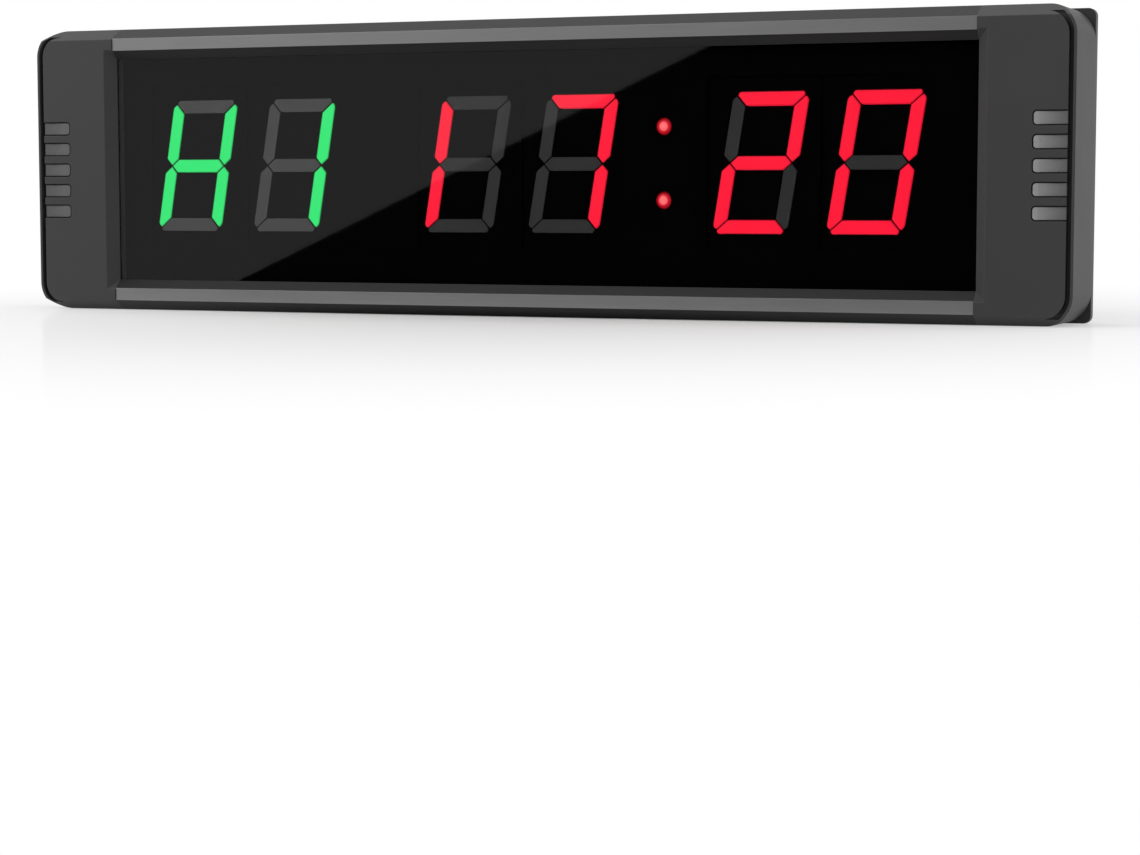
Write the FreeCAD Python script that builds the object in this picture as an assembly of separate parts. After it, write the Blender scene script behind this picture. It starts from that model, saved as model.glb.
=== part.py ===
"""Wall or table interval timer: six seven-segment digits behind a smoked lens, in an aluminium
frame with plastic end caps.

Axes: +X to the viewer's right, the display faces -Y, +Z up. Origin: centre of the bottom face.
Helpers take a depth, counted backwards from the front face, in place of y. Millimetres.
"""
import FreeCAD
import Part
import math
import os

# ---- overall sizes ----
CASE_WIDTH = 310.0
CASE_HEIGHT = 82.6
CASE_DEPTH = 27.5
CAP_WIDTH = 25.8          # end cap, from the end of the rails to the side of the case
CAP_BACK_THICKNESS = 2.9  # closing plate at the back of an end cap

# ---- front frame section, shared by the rails and the end caps ----
BEVEL_HEIGHT = 3.1        # outer bevel, measured down the front
BEVEL_DEPTH = 5.0
BAND_HEIGHT = 3.0         # flat band between the two bevels
BAND_STEP = 0.35          # the band lies this far behind the end caps
WINDOW_BEVEL_WIDTH = 2.8  # inner bevel round the lens
WINDOW_BEVEL_DEPTH = 2.95
LIP_BACK = 3.3            # depth of the back of the front lip, where the lens rests

# ---- sheet parts ----
LENS_THICKNESS = 2.5
BOARD_THICKNESS = 1.6
PANEL_THICKNESS = 1.4
MASK_THICKNESS = 0.5
SLOT_PLAY = 0.1           # between a sheet and each side of its slot
FIT_GAP = 0.2             # between a sheet's edge and the bottom of its slot

# ---- rail walls ----
WALL = 1.8
RIB = 1.2
LENS_RIB_REACH = 6.0      # from the outside of the rail to the rib's tip
BOARD_RIB_REACH = 4.6
FLANGE_REACH = 8.0
SLOT_FLOOR_STEP = 0.2     # the slots are cut this much less deep than the open channel
BOARD_TO_PANEL = 6.6      # free depth behind the board
FLANGE_THICKNESS = 1.4
RAIL_REBATE = 0.1         # the rails stand this much proud of the rear panel

# ---- end caps ----
CORNER_RADIUS = 8.0
CAP_WALL = 2.0
CAP_INNER_WALL = 4.3
LENS_ENGAGEMENT = 2.0     # how far the lens runs into each cap
TONGUE_LENGTH = 14.0
TONGUE_PLAY = 0.1
GROOVE_INSET = 0.7
GROOVE_WIDTH = 1.3
GROOVE_DEPTH = 2.4
BACK_CORNER_RADIUS = 2.0
CAP_BOSS_RADIUS = 3.4
CAP_SCREW_SPACING = 52.0
SPIGOT_HEIGHT = 1.5
SPIGOT_PLAY = 0.2

# ---- grip pads ----
PAD_COUNT = 5
PAD_LENGTH = 8.8
PAD_HEIGHT = 3.4
PAD_PITCH = 6.1
PAD_THICKNESS = 1.3
PAD_GAP = 0.3
PAD_CORNER = 0.9
PAD_SINK = 0.1
PAD_SCOOP_RADIUS = 16.0
PAD_SCOOP_DEPTH = 0.6

# ---- digits ----
DIGIT_HEIGHT = 38.1
DIGIT_WIDTH = 21.2
DIGIT_SLANT = 6.2         # sideways run of the slant over the digit's height
SEGMENT_WIDTH = 3.7
SEGMENT_GAP = 0.3
SEGMENT_PLAY = 0.15
DIGIT_RISE = 1.15         # the digits' middle above the middle of the case
DIGIT_PITCH = 32.0
PAIR_CENTRES = (-88.4, -1.3, 85.1)
MODULE_WIDTH = 31.8
MODULE_HEIGHT = 48.0
MODULE_DEPTH = 8.0
MODULE_PLAY = 0.05        # between a module and the board
MASK_PLAY = 0.1           # between the mask and the lens, and the modules and the mask
SEGMENT_DEPTH = 4.6
SEGMENT_SINK = 0.05
SHOWN = ("bcefg", "bc", "ef", "abc", "abdeg", "abcdef")
COLOURS = ("green", "green", "red", "red", "red", "red")
PINS_PER_ROW = 5
PIN_PITCH = 5.08
PIN_ROW_SPACING = 40.6
PIN_RADIUS = 0.3
PIN_TAIL = 1.2

# ---- colon ----
COLON_X = 41.3
COLON_SPACING = 20.1
COLON_DOT_RADIUS = 2.4
COLON_MODULE_WIDTH = 10.0
COLON_MODULE_HEIGHT = 34.0

# ---- screws ----
SCREW_RADIUS = 1.45
SCREW_PLAY = 0.05
HEAD_RADIUS = 2.8
HEAD_DEPTH = 1.35
PANEL_SCREW_LENGTH = 6.2
CAP_SCREW_LENGTH = 11.0
CROSS_WIDTH = 0.7
CROSS_LENGTH = 3.2
CROSS_DEPTH = 1.0
PANEL_SCREW_MIDDLE_X = 43.0
PANEL_SCREW_END = 7.7     # from the end of the rail
PANEL_SCREW_INSET = 5.6   # from the top or bottom of the case

# ---- hanging ears ----
EAR_X = 100.0
EAR_PIVOT_DROP = 14.6     # from the top of the case
EAR_WIDTH = 14.0
EAR_REACH = 26.0          # from the pivot to the keyhole's round hole
EAR_THICKNESS = 1.2
EAR_CLEARANCE = 0.05
KEYHOLE_RADIUS = 4.2
KEYHOLE_SLOT = 4.6
KEYHOLE_SLOT_LENGTH = 8.0
PIVOT_SHOULDER = 2.95
PIVOT_HOLE = 3.0
PIVOT_HEAD_RADIUS = 4.6
PIVOT_HEAD_HEIGHT = 1.2
PIVOT_THREAD = 1.95
WASHER_THICKNESS = 0.5
WASHER_RADIUS = 5.5
NUT_WIDTH = 7.0
NUT_HEIGHT = 2.6

# ---- parts on the board ----
JACK_X = -50.0
JACK_HEIGHT = 22.0
JACK_BODY = 9.0
JACK_BARREL_RADIUS = 3.9
JACK_HOLE_PLAY = 0.15
JACK_BORE = 2.75
JACK_BORE_DEPTH = 6.0
JACK_PIN_RADIUS = 1.0
RECEIVER_X = -45.0
RECEIVER_HEIGHT = 20.0
BUZZER_X = 40.0
BUZZER_HEIGHT = 22.0
BUZZER_RADIUS = 6.0
BUZZER_THICKNESS = 4.8
CELL_X = 92.0
CELL_RADIUS = 8.0
CELL_THICKNESS = 2.0
HOLDER_THICKNESS = 4.0
HOLDER_FLOOR = 1.2
CONTROLLER_SIDE = 10.0
CONTROLLER_THICKNESS = 1.5
CONTROLLER_LEG = 1.2
DRIVER_XS = (-75.0, 32.0, 60.0)
DRIVER_LENGTH = 12.8
DRIVER_WIDTH = 7.5
DRIVER_THICKNESS = 2.3
CAPACITOR_RADIUS = 2.5
CAPACITOR_HEIGHT = 5.4
RESISTOR_LENGTH = 3.2
RESISTOR_WIDTH = 1.6
RESISTOR_THICKNESS = 0.6
RESISTORS_PER_ROW = 8
RESISTOR_PITCH = 3.4
CHIP_X = 0.0
VENT_COUNT = 9
VENT_PITCH = 3.2
VENT_WIDTH = 1.4
VENT_LENGTH = 9.0

# ---- worked out from the above ----
MIDDLE_HEIGHT = CASE_HEIGHT / 2
SLOT_FLOOR = WALL + SLOT_FLOOR_STEP
HALF_WIDTH = CASE_WIDTH / 2
CAP_EDGE = HALF_WIDTH - CAP_WIDTH
BAND_INNER = BEVEL_HEIGHT + BAND_HEIGHT
WINDOW_EDGE = BAND_INNER + WINDOW_BEVEL_WIDTH
LENS_FACE = LIP_BACK + SLOT_PLAY
LENS_BACK = LENS_FACE + LENS_THICKNESS
LENS_RIB_FACE = LENS_BACK + SLOT_PLAY
MASK_FACE = LENS_BACK + MASK_PLAY
MODULE_FACE = MASK_FACE + MASK_THICKNESS + MASK_PLAY + MODULE_PLAY
BOARD_FACE = MODULE_FACE + MODULE_DEPTH + MODULE_PLAY
BOARD_BACK = BOARD_FACE + BOARD_THICKNESS
PANEL_FACE = BOARD_BACK + BOARD_TO_PANEL
FLANGE_FACE = PANEL_FACE - SLOT_PLAY - FLANGE_THICKNESS
FLANGE_BACK = PANEL_FACE - SLOT_PLAY
PANEL_BACK = PANEL_FACE + PANEL_THICKNESS
RAIL_BACK = PANEL_BACK + RAIL_REBATE
CAP_BACK = CASE_DEPTH - CAP_BACK_THICKNESS
BOARD_RIB_BACK = BOARD_BACK + SLOT_PLAY + RIB
SHEET_EDGE = SLOT_FLOOR + FIT_GAP
EAR_FACE = PANEL_BACK + WASHER_THICKNESS + EAR_CLEARANCE
EAR_BACK = EAR_FACE + EAR_THICKNESS
PIVOT_HEAD_FACE = EAR_BACK + EAR_CLEARANCE
EAR_PIVOT_HEIGHT = CASE_HEIGHT - EAR_PIVOT_DROP
DIGIT_MIDDLE = MIDDLE_HEIGHT + DIGIT_RISE
DIGIT_BASE = DIGIT_MIDDLE - DIGIT_HEIGHT / 2
COLON_HEIGHTS = (DIGIT_MIDDLE - COLON_SPACING / 2, DIGIT_MIDDLE + COLON_SPACING / 2)
PANEL_SCREW_END_X = CAP_EDGE - PANEL_SCREW_END
PANEL_SCREW_XS = (-PANEL_SCREW_END_X, -PANEL_SCREW_MIDDLE_X, PANEL_SCREW_MIDDLE_X,
                  PANEL_SCREW_END_X)
DIGIT_CENTRES = [pair + side * DIGIT_PITCH / 2 for pair in PAIR_CENTRES for side in (-1, 1)]

os.makedirs("parts", exist_ok=True)


def point(x, depth, z):
    """A point given by its distance right of centre, behind the front face and above the base."""
    return FreeCAD.Vector(x, depth - CASE_DEPTH / 2, z)


def box(x0, x1, depth0, depth1, z0, z1):
    return Part.makeBox(x1 - x0, depth1 - depth0, z1 - z0, point(x0, depth0, z0))


def rod(x, z, radius, depth0, depth1):
    """A cylinder along the depth."""
    return Part.makeCylinder(radius, depth1 - depth0, point(x, depth0, z), FreeCAD.Vector(0, 1, 0))


def cone(x, z, radius0, radius1, depth0, depth1):
    return Part.makeCone(radius0, radius1, depth1 - depth0, point(x, depth0, z),
                         FreeCAD.Vector(0, 1, 0))


def prism(face, depth0, depth1):
    """Push a face that lies at depth 0 back from depth0 to depth1."""
    moved = face.copy()
    moved.translate(FreeCAD.Vector(0, depth0, 0))
    return moved.extrude(FreeCAD.Vector(0, depth1 - depth0, 0))


def outline(start, *steps):
    """A closed wire at depth 0. A step is an (x, z) corner, or a pair of them: arc middle and end."""
    edges = []
    here = start
    for step in steps + (start,):
        if isinstance(step[0], tuple):
            middle, end = step
            edges.append(Part.Arc(point(here[0], 0, here[1]), point(middle[0], 0, middle[1]),
                                  point(end[0], 0, end[1])).toShape())
        else:
            end = step
            edges.append(Part.LineSegment(point(here[0], 0, here[1]),
                                          point(end[0], 0, end[1])).toShape())
        here = end
    return Part.Wire(edges)


def round_corner(x, z, radius, side_x, side_z):
    """Middle and end of the arc round a corner; the arc starts on the level edge."""
    bend = radius * (1 - math.sqrt(0.5))
    return ((x - side_x * bend, z - side_z * bend), (x, z - side_z * radius))


def half_rounded(x0, x1, z0, z1, radius):
    """Face with its two corners at x1 rounded; x1 may lie on either side of x0."""
    side = 1 if x1 > x0 else -1
    top = round_corner(x1, z1, radius, side, 1)
    bend = radius * (1 - math.sqrt(0.5))
    bottom = ((x1 - side * bend, z0 + bend), (x1 - side * radius, z0))
    return Part.Face(outline((x0, z0), (x0, z1), (x1 - side * radius, z1), top,
                             (x1, z0 + radius), bottom))


def fuse(shapes):
    joined = shapes[0].multiFuse(shapes[1:]) if len(shapes) > 1 else shapes[0]
    return joined.removeSplitter()


def mirror_x(shape):
    return shape.mirror(FreeCAD.Vector(0, 0, 0), FreeCAD.Vector(1, 0, 0))


def save(name, shape):
    solids = shape.Solids
    for solid in solids:
        if not solid.isValid() or solid.Volume <= 0:
            raise RuntimeError(name + " holds a bad solid")
    kept = solids[0] if len(solids) == 1 else Part.makeCompound(solids)
    kept.exportStep("parts/" + name + ".step")
    print(name, len(solids), round(sum(solid.Volume for solid in solids), 1))


# ---- aluminium rails ----

def window_cutter():
    """The sloped window: wide at the front, narrowing to the lens."""
    def rectangle(grow, depth):
        x = CAP_EDGE + grow
        low = WINDOW_EDGE - grow
        high = CASE_HEIGHT - WINDOW_EDGE + grow
        corners = [point(-x, depth, low), point(x, depth, low), point(x, depth, high),
                   point(-x, depth, high)]
        return Part.makePolygon(corners + [corners[0]])
    slope = WINDOW_BEVEL_WIDTH / WINDOW_BEVEL_DEPTH
    front = -1.0
    return Part.makeLoft([rectangle(slope * (WINDOW_BEVEL_DEPTH - front), front),
                          rectangle(0, WINDOW_BEVEL_DEPTH)], True)


def rail_section():
    """(depth, reach) corners of a rail; reach counts inwards from the top or bottom of the case."""
    return [
        (BEVEL_DEPTH, 0), (BAND_STEP, BEVEL_HEIGHT - BAND_STEP * BEVEL_HEIGHT / BEVEL_DEPTH),
        (BAND_STEP, BAND_INNER + BAND_STEP * WINDOW_BEVEL_WIDTH / WINDOW_BEVEL_DEPTH),
        (WINDOW_BEVEL_DEPTH, WINDOW_EDGE), (LIP_BACK, WINDOW_EDGE), (LIP_BACK, SLOT_FLOOR),
        (LENS_RIB_FACE, SLOT_FLOOR), (LENS_RIB_FACE, LENS_RIB_REACH),
        (LENS_RIB_FACE + RIB, LENS_RIB_REACH), (LENS_RIB_FACE + RIB, WALL),
        (BOARD_FACE - SLOT_PLAY - RIB, WALL), (BOARD_FACE - SLOT_PLAY - RIB, BOARD_RIB_REACH),
        (BOARD_FACE - SLOT_PLAY, BOARD_RIB_REACH), (BOARD_FACE - SLOT_PLAY, SLOT_FLOOR),
        (BOARD_BACK + SLOT_PLAY, SLOT_FLOOR), (BOARD_BACK + SLOT_PLAY, BOARD_RIB_REACH),
        (BOARD_RIB_BACK, BOARD_RIB_REACH), (BOARD_RIB_BACK, WALL),
        (FLANGE_FACE, WALL), (FLANGE_FACE, FLANGE_REACH), (FLANGE_BACK, FLANGE_REACH),
        (FLANGE_BACK, WALL), (RAIL_BACK, WALL), (RAIL_BACK, 0),
    ]


def rail(at_top):
    def height(reach):
        return CASE_HEIGHT - reach if at_top else reach
    corners = [point(-CAP_EDGE, depth, height(reach)) for depth, reach in rail_section()]
    section = Part.Face(Part.makePolygon(corners + [corners[0]]))
    body = section.extrude(FreeCAD.Vector(2 * CAP_EDGE, 0, 0))
    holes = [rod(x, height(PANEL_SCREW_INSET), SCREW_RADIUS + SCREW_PLAY, FLANGE_FACE - 1,
                 FLANGE_BACK + 1) for x in PANEL_SCREW_XS]
    return body.cut(holes)


# ---- end caps (the right one; the left one is its mirror image) ----

def cap_outline(inset, x0):
    return half_rounded(x0, HALF_WIDTH - inset, inset, CASE_HEIGHT - inset,
                        max(CORNER_RADIUS - inset, 0.5))


def cap_bevel_cutter(at_top):
    """The wedge in front of the cap's upper or lower bevel."""
    def height(reach):
        return CASE_HEIGHT - reach if at_top else reach
    slope = BEVEL_DEPTH / BEVEL_HEIGHT
    over = 1.0
    x = CAP_EDGE - over
    corners = [point(x, -over, height(-over)), point(x, BEVEL_DEPTH + over * slope, height(-over)),
               point(x, -over, height(BEVEL_HEIGHT + over / slope))]
    wedge = Part.Face(Part.makePolygon(corners + [corners[0]]))
    return wedge.extrude(FreeCAD.Vector(CAP_WIDTH + 2 * over, 0, 0))


def groove_cutter():
    """The shadow line that follows the cap's side between the two bevels."""
    outer = prism(cap_outline(GROOVE_INSET, CAP_EDGE), -1, GROOVE_DEPTH)
    inner = prism(cap_outline(GROOVE_INSET + GROOVE_WIDTH, CAP_EDGE), -2, GROOVE_DEPTH + 1)
    edge = GROOVE_INSET + GROOVE_WIDTH
    keep = box(HALF_WIDTH - CORNER_RADIUS, HALF_WIDTH, -1, GROOVE_DEPTH, edge, CASE_HEIGHT - edge)
    return outer.cut(inner).common(keep)


def pad_heights():
    return [MIDDLE_HEIGHT + (i - (PAD_COUNT - 1) / 2) * PAD_PITCH for i in range(PAD_COUNT)]


def pad_face(z, grow):
    outer_x = HALF_WIDTH - GROOVE_INSET - GROOVE_WIDTH
    half = PAD_HEIGHT / 2 + grow
    overrun = 0.2 if grow > 0 else 0
    return half_rounded(outer_x + overrun, outer_x - PAD_LENGTH - grow, z - half, z + half,
                        PAD_CORNER + grow)


def grip_pads():
    """Five inlays with a shallow scoop for the fingertips."""
    outer_x = HALF_WIDTH - GROOVE_INSET - GROOVE_WIDTH
    pads = [prism(pad_face(z, 0), PAD_SINK, PAD_SINK + PAD_THICKNESS) for z in pad_heights()]
    scoop = Part.makeCylinder(PAD_SCOOP_RADIUS, CASE_HEIGHT,
                              point(outer_x - PAD_LENGTH / 3,
                                    PAD_SINK + PAD_SCOOP_DEPTH - PAD_SCOOP_RADIUS, 0))
    return Part.makeCompound([pad.cut(scoop) for pad in pads])


def cap_screw_heights():
    return [MIDDLE_HEIGHT - CAP_SCREW_SPACING / 2, MIDDLE_HEIGHT + CAP_SCREW_SPACING / 2]


def cap_screw_x():
    return (CAP_EDGE + CAP_INNER_WALL + HALF_WIDTH - CAP_WALL) / 2


def tongue(at_top):
    """Block that slides into the rail's end and takes the panel screw's thread."""
    front = BOARD_RIB_BACK + TONGUE_PLAY
    back = FLANGE_FACE - TONGUE_PLAY
    near = WALL + TONGUE_PLAY
    far = FLANGE_REACH + 1.0
    low, high = (CASE_HEIGHT - far, CASE_HEIGHT - near) if at_top else (near, far)
    block = box(CAP_EDGE - TONGUE_LENGTH, CAP_EDGE + 1, front, back, low, high)
    screw_z = CASE_HEIGHT - PANEL_SCREW_INSET if at_top else PANEL_SCREW_INSET
    return block.cut(rod(PANEL_SCREW_XS[-1], screw_z, SCREW_RADIUS + SCREW_PLAY, front - 1,
                         back + 1))


def end_cap():
    shell = prism(cap_outline(0, CAP_EDGE), 0, CAP_BACK)
    shell = shell.cut([cap_bevel_cutter(True), cap_bevel_cutter(False), window_cutter(),
                       groove_cutter()])
    cavity_face = half_rounded(CAP_EDGE + CAP_INNER_WALL, HALF_WIDTH - CAP_WALL,
                               CAP_WALL + BEVEL_HEIGHT / 2, CASE_HEIGHT - CAP_WALL - BEVEL_HEIGHT / 2,
                               CORNER_RADIUS - CAP_WALL)
    cavity_front = GROOVE_DEPTH + CAP_WALL
    bosses = []
    holes = []
    for z in cap_screw_heights():
        bosses.append(rod(cap_screw_x(), z, CAP_BOSS_RADIUS, cavity_front - 1, CAP_BACK
                          - SPIGOT_HEIGHT - SPIGOT_PLAY))
        holes.append(rod(cap_screw_x(), z, SCREW_RADIUS + SCREW_PLAY,
                         CASE_DEPTH - CAP_SCREW_LENGTH - 1, CAP_BACK + 1))
    shell = shell.cut(prism(cavity_face, cavity_front, CAP_BACK + 1))
    shell = shell.multiFuse(bosses + [tongue(True), tongue(False)])
    lens_slot = box(CAP_EDGE - 1, CAP_EDGE + LENS_ENGAGEMENT + FIT_GAP, LIP_BACK, LENS_RIB_FACE,
                    SLOT_FLOOR, CASE_HEIGHT - SLOT_FLOOR)
    pockets = [prism(pad_face(z, PAD_GAP), -1, PAD_SINK + PAD_THICKNESS + 0.05)
               for z in pad_heights()]
    return shell.cut(holes + pockets + [lens_slot]).removeSplitter()


def countersunk(x, z, back, length):
    """A cross-recessed screw whose flat head ends at the given depth."""
    head = cone(x, z, SCREW_RADIUS, HEAD_RADIUS, back - HEAD_DEPTH, back)
    shank = rod(x, z, SCREW_RADIUS, back - length, back - HEAD_DEPTH)
    cross = [box(x - CROSS_LENGTH / 2, x + CROSS_LENGTH / 2, back - CROSS_DEPTH, back + 1,
                 z - CROSS_WIDTH / 2, z + CROSS_WIDTH / 2),
             box(x - CROSS_WIDTH / 2, x + CROSS_WIDTH / 2, back - CROSS_DEPTH, back + 1,
                 z - CROSS_LENGTH / 2, z + CROSS_LENGTH / 2)]
    return head.fuse(shank).cut(cross).removeSplitter()


def countersink_cutters(x, z, back):
    """Hole and countersink that a flat-headed screw needs, to the given depth."""
    play = SCREW_PLAY
    return [rod(x, z, SCREW_RADIUS + play, back - 8, back + 1),
            cone(x, z, SCREW_RADIUS + play, HEAD_RADIUS + play, back - HEAD_DEPTH, back + play / 4)]


def cap_back():
    plate_face = half_rounded(CAP_EDGE, HALF_WIDTH, 0, CASE_HEIGHT, BACK_CORNER_RADIUS)
    plate = prism(plate_face, CAP_BACK, CASE_DEPTH)
    spigot_face = half_rounded(CAP_EDGE + CAP_INNER_WALL + SPIGOT_PLAY,
                               HALF_WIDTH - CAP_WALL - SPIGOT_PLAY,
                               CAP_WALL + BEVEL_HEIGHT / 2 + SPIGOT_PLAY,
                               CASE_HEIGHT - CAP_WALL - BEVEL_HEIGHT / 2 - SPIGOT_PLAY,
                               CORNER_RADIUS - CAP_WALL)
    plate = plate.fuse(prism(spigot_face, CAP_BACK - SPIGOT_HEIGHT, CAP_BACK))
    cutters = []
    for z in cap_screw_heights():
        cutters += countersink_cutters(cap_screw_x(), z, CASE_DEPTH)
    return plate.cut(cutters).removeSplitter()


def cap_screws():
    return Part.makeCompound([countersunk(cap_screw_x(), z, CASE_DEPTH, CAP_SCREW_LENGTH)
                              for z in cap_screw_heights()])


# ---- lens, mask, board and panel ----

def lens():
    reach = CAP_EDGE + LENS_ENGAGEMENT
    return box(-reach, reach, LENS_FACE, LENS_BACK, SHEET_EDGE, CASE_HEIGHT - SHEET_EDGE)


def module_heights():
    return DIGIT_MIDDLE - MODULE_HEIGHT / 2, DIGIT_MIDDLE + MODULE_HEIGHT / 2


def light_mask():
    """Black film behind the lens, open in front of the digits and colon; infrared passes it."""
    edge = LENS_RIB_REACH + FIT_GAP
    sheet = box(-CAP_EDGE + FIT_GAP, CAP_EDGE - FIT_GAP, MASK_FACE,
                MASK_FACE + MASK_THICKNESS, edge, CASE_HEIGHT - edge)
    overlap = 0.8             # of the film over each module's edge
    low, high = module_heights()
    windows = [box(x - MODULE_WIDTH / 2 + overlap, x + MODULE_WIDTH / 2 - overlap, LENS_BACK - 1,
                   LENS_BACK + 2, low + overlap, high - overlap) for x in DIGIT_CENTRES]
    windows += [rod(COLON_X, z, COLON_DOT_RADIUS + 0.2, LENS_BACK - 1, LENS_BACK + 2)
                for z in COLON_HEIGHTS]
    return sheet.cut(windows)


def board():
    reach = CAP_EDGE - FIT_GAP
    sheet = box(-reach, reach, BOARD_FACE, BOARD_BACK, SHEET_EDGE, CASE_HEIGHT - SHEET_EDGE)
    holes = [rod(x, z, PIN_RADIUS + 0.1, BOARD_FACE - 1, BOARD_BACK + 1)
             for x, z in pin_places()]
    return sheet.cut(holes)


def vent_slots():
    """Sound slots in front of the buzzer."""
    slots = []
    for i in range(VENT_COUNT):
        x = BUZZER_X + (i - (VENT_COUNT - 1) / 2) * VENT_PITCH
        half = VENT_LENGTH / 2
        slots.append(box(x - VENT_WIDTH / 2, x + VENT_WIDTH / 2, PANEL_FACE - 1, PANEL_BACK + 1,
                         BUZZER_HEIGHT - half, BUZZER_HEIGHT + half))
        for z in (BUZZER_HEIGHT - half, BUZZER_HEIGHT + half):
            slots.append(rod(x, z, VENT_WIDTH / 2, PANEL_FACE - 1, PANEL_BACK + 1))
    return slots


def panel_screw_places():
    heights = (PANEL_SCREW_INSET, CASE_HEIGHT - PANEL_SCREW_INSET)
    return [(x, z) for x in PANEL_SCREW_XS for z in heights]


def rear_panel():
    edge = WALL + FIT_GAP
    reach = CAP_EDGE - FIT_GAP
    sheet = box(-reach, reach, PANEL_FACE, PANEL_BACK, edge, CASE_HEIGHT - edge)
    cutters = vent_slots()
    for x, z in panel_screw_places():
        cutters += countersink_cutters(x, z, PANEL_BACK)
    for x in (-EAR_X, EAR_X):
        cutters.append(rod(x, EAR_PIVOT_HEIGHT, PIVOT_THREAD + SCREW_PLAY, PANEL_FACE - 1,
                           PANEL_BACK + 1))
    cutters.append(rod(JACK_X, JACK_HEIGHT, JACK_BARREL_RADIUS + JACK_HOLE_PLAY, PANEL_FACE - 1,
                       PANEL_BACK + 1))
    return sheet.cut(cutters)


def panel_screws():
    return Part.makeCompound([countersunk(x, z, PANEL_BACK, PANEL_SCREW_LENGTH)
                              for x, z in panel_screw_places()])


# ---- digits ----

def slanted(centre, u, v):
    """Place of a point of the upright digit, u across and v up, once it leans to the right."""
    left = centre - (DIGIT_WIDTH + DIGIT_SLANT) / 2
    return (left + u + DIGIT_SLANT * v / DIGIT_HEIGHT, DIGIT_BASE + v)


def segment_outline(name):
    """Corners of one segment of the upright digit; pairs are arcs, as outline() takes them."""
    w = SEGMENT_WIDTH
    g = SEGMENT_GAP
    middle = DIGIT_HEIGHT / 2
    tip = 1.0                 # from the digit's corner to the end of the mitre
    flat = 2.6                # from the digit's corner to the straight outer edge
    bend = 1.55
    if name == "g":
        half = w / 2
        left, right = w / 2 + g, DIGIT_WIDTH - w / 2 - g
        return [(left, middle), (left + half, middle + half), (right - half, middle + half),
                (right, middle), (right - half, middle - half), (left + half, middle - half)]
    if name in "ad":
        shape = [(flat, 0), ((bend, tip - 0.72), (tip + g, tip)), (w + g, w),
                 (DIGIT_WIDTH - w - g, w), (DIGIT_WIDTH - tip - g, tip),
                 ((DIGIT_WIDTH - bend, tip - 0.72), (DIGIT_WIDTH - flat, 0))]
        return flip_up(shape) if name == "a" else shape
    waist = middle - g
    shape = [(tip, tip + g), ((tip - 0.72, bend + g), (0, flat + g)), (0, waist - w / 2),
             (w / 2, waist), (w, waist - w / 2), (w, w + g)]
    if name in "bc":
        shape = [mirrored(step, lambda p: (DIGIT_WIDTH - p[0], p[1])) for step in shape]
    return flip_up(shape) if name in "bf" else shape


def mirrored(step, change):
    if isinstance(step[0], tuple):
        return tuple(change(part) for part in step)
    return change(step)


def flip_up(shape):
    return [mirrored(step, lambda p: (p[0], DIGIT_HEIGHT - p[1])) for step in shape]


def segment_wire(centre, name):
    shape = [mirrored(step, lambda p: slanted(centre, *p)) for step in segment_outline(name)]
    return outline(*shape)


def segments(centre, names):
    """Light pipes of the named segments."""
    front = MODULE_FACE + SEGMENT_SINK
    return Part.makeCompound([prism(Part.Face(segment_wire(centre, name)), front,
                                    front + SEGMENT_DEPTH) for name in names])


def housing(centre):
    low, high = module_heights()
    block = box(centre - MODULE_WIDTH / 2, centre + MODULE_WIDTH / 2, MODULE_FACE,
                BOARD_FACE - MODULE_PLAY, low, high)
    wells = []
    for name in "abcdefg":
        grown = segment_wire(centre, name).makeOffset2D(SEGMENT_PLAY)
        wells.append(prism(Part.Face(grown), MODULE_FACE - 1,
                           MODULE_FACE + SEGMENT_SINK + SEGMENT_DEPTH + 0.05))
    return block.cut(wells)


def pin_places():
    return [(centre + (i - (PINS_PER_ROW - 1) / 2) * PIN_PITCH,
             DIGIT_MIDDLE + side * PIN_ROW_SPACING / 2)
            for centre in DIGIT_CENTRES for side in (-1, 1) for i in range(PINS_PER_ROW)]


def pins():
    return Part.makeCompound([rod(x, z, PIN_RADIUS, BOARD_FACE, BOARD_BACK + PIN_TAIL)
                              for x, z in pin_places()])


def colon_module():
    block = box(COLON_X - COLON_MODULE_WIDTH / 2, COLON_X + COLON_MODULE_WIDTH / 2, MODULE_FACE,
                BOARD_FACE - MODULE_PLAY, DIGIT_MIDDLE - COLON_MODULE_HEIGHT / 2,
                DIGIT_MIDDLE + COLON_MODULE_HEIGHT / 2)
    wells = [rod(COLON_X, z, COLON_DOT_RADIUS + SEGMENT_PLAY, MODULE_FACE - 1,
                 MODULE_FACE + SEGMENT_SINK + SEGMENT_DEPTH + 0.05) for z in COLON_HEIGHTS]
    return block.cut(wells)


def colon_dots():
    front = MODULE_FACE + SEGMENT_SINK
    return Part.makeCompound([rod(COLON_X, z, COLON_DOT_RADIUS, front, front + SEGMENT_DEPTH)
                              for z in COLON_HEIGHTS])


# ---- parts on the board ----

def receiver():
    """Infrared receiver: a square body with a round lens, facing forward between the digits."""
    body = box(RECEIVER_X - 3.2, RECEIVER_X + 3.2, BOARD_FACE - 4.7, BOARD_FACE - MODULE_PLAY,
               RECEIVER_HEIGHT - 3.5,
               RECEIVER_HEIGHT + 3.5)
    dome = rod(RECEIVER_X, RECEIVER_HEIGHT, 2.4, BOARD_FACE - 6.1, BOARD_FACE - 4.2)
    cap = Part.makeSphere(2.4, point(RECEIVER_X, BOARD_FACE - 5.3, RECEIVER_HEIGHT))
    return fuse([body, dome, cap.common(box(RECEIVER_X - 3, RECEIVER_X + 3, BOARD_FACE - 7.9,
                                            BOARD_FACE - 5.2,
                                            RECEIVER_HEIGHT - 3, RECEIVER_HEIGHT + 3))])


def buzzer():
    back = BOARD_BACK + 0.05 + BUZZER_THICKNESS
    can = rod(BUZZER_X, BUZZER_HEIGHT, BUZZER_RADIUS, BOARD_BACK + 0.05, back)
    return can.cut(rod(BUZZER_X, BUZZER_HEIGHT, 1.2, back - 1.5, back + 1))


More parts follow.
